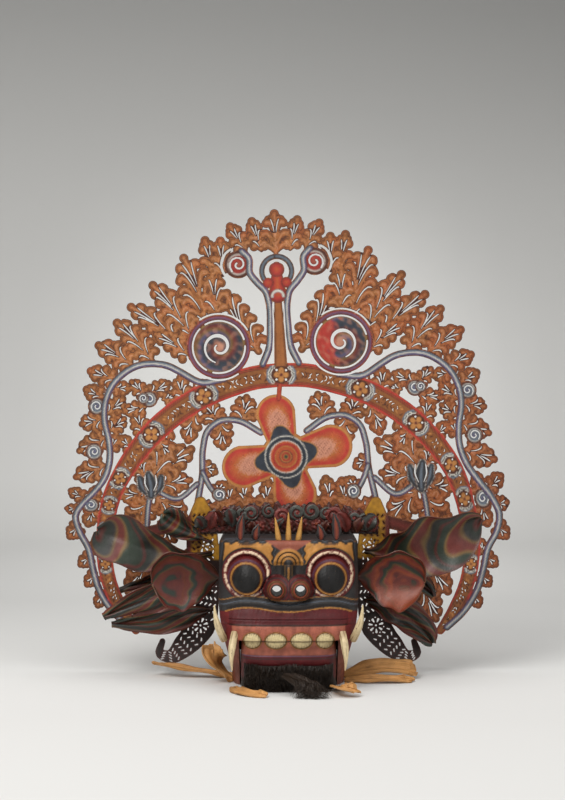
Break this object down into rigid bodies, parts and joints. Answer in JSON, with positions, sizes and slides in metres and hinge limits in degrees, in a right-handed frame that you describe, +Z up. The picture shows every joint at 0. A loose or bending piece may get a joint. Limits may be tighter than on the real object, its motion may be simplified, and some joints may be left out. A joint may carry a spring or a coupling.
{
  "type": "barong mask",
  "caption": "Carved and painted wooden beast mask with a hinged jaw, tusks and leather ears, under a tall openwork leather fan.",
  "frame": {"origin": "under the lower jaw, in the mask's middle plane, on the flat underside that the mask stands on", "axes": "+Z up, -Y the way the face looks, +X to the viewer's right when facing the face"},
  "size_m": [0.7522, 0.2992, 0.7738],
  "materials": {
    "carved_wood": "polychrome",
    "tusk": "satin",
    "gilt": "gilt",
    "fan_leather": "painted",
    "ear_leather": "painted",
    "leaf_leather": "painted",
    "pendant_leather": "gilt above, dark below",
    "crown_leather": "painted",
    "bare_leather": "bare",
    "fur": "hide with hair",
    "hair": "hair"
  },
  "bodies": {
    "mask": {"head": "carved_wood", "tusk_upper_left": "tusk", "tusk_upper_right": "tusk", "tusk_lower_left": "tusk", "tusk_lower_right": "tusk", "spike_left": "gilt", "spike_middle": "gilt", "spike_right": "gilt", "flame_left_1": "crown_leather", "flame_left_2": "crown_leather", "flame_right_1": "crown_leather", "flame_right_2": "crown_leather", "crown": "crown_leather", "fan": "fan_leather", "pendant_left": "pendant_leather", "pendant_right": "pendant_leather", "ear_left": "ear_leather", "ear_right": "ear_leather", "leaf_upper_left": "leaf_leather", "leaf_small_left": "leaf_leather", "leaf_back_left": "leaf_leather", "leaf_lower_left": "leaf_leather", "leaf_bottom_left": "leaf_leather", "leaf_upper_right": "leaf_leather", "leaf_back_right": "leaf_leather", "leaf_lower_right": "leaf_leather", "scrap_left_long": "bare_leather", "scrap_left_curl": "bare_leather", "scrap_right_broad": "bare_leather", "scrap_right_long": "bare_leather"},
    "jaw": {"lower_jaw": "carved_wood", "chin_fur": "fur", "beard_tress": "hair", "scrap_left_front": "bare_leather", "scrap_right_front": "bare_leather"}
  },
  "joints": [
    {"name": "jaw_hinge", "type": "hinge", "parent": "mask", "child": "jaw", "pos_m": [0, 0.05, 0.045], "axis": [1, 0, 0], "range_deg": [0, 22]}
  ]
}
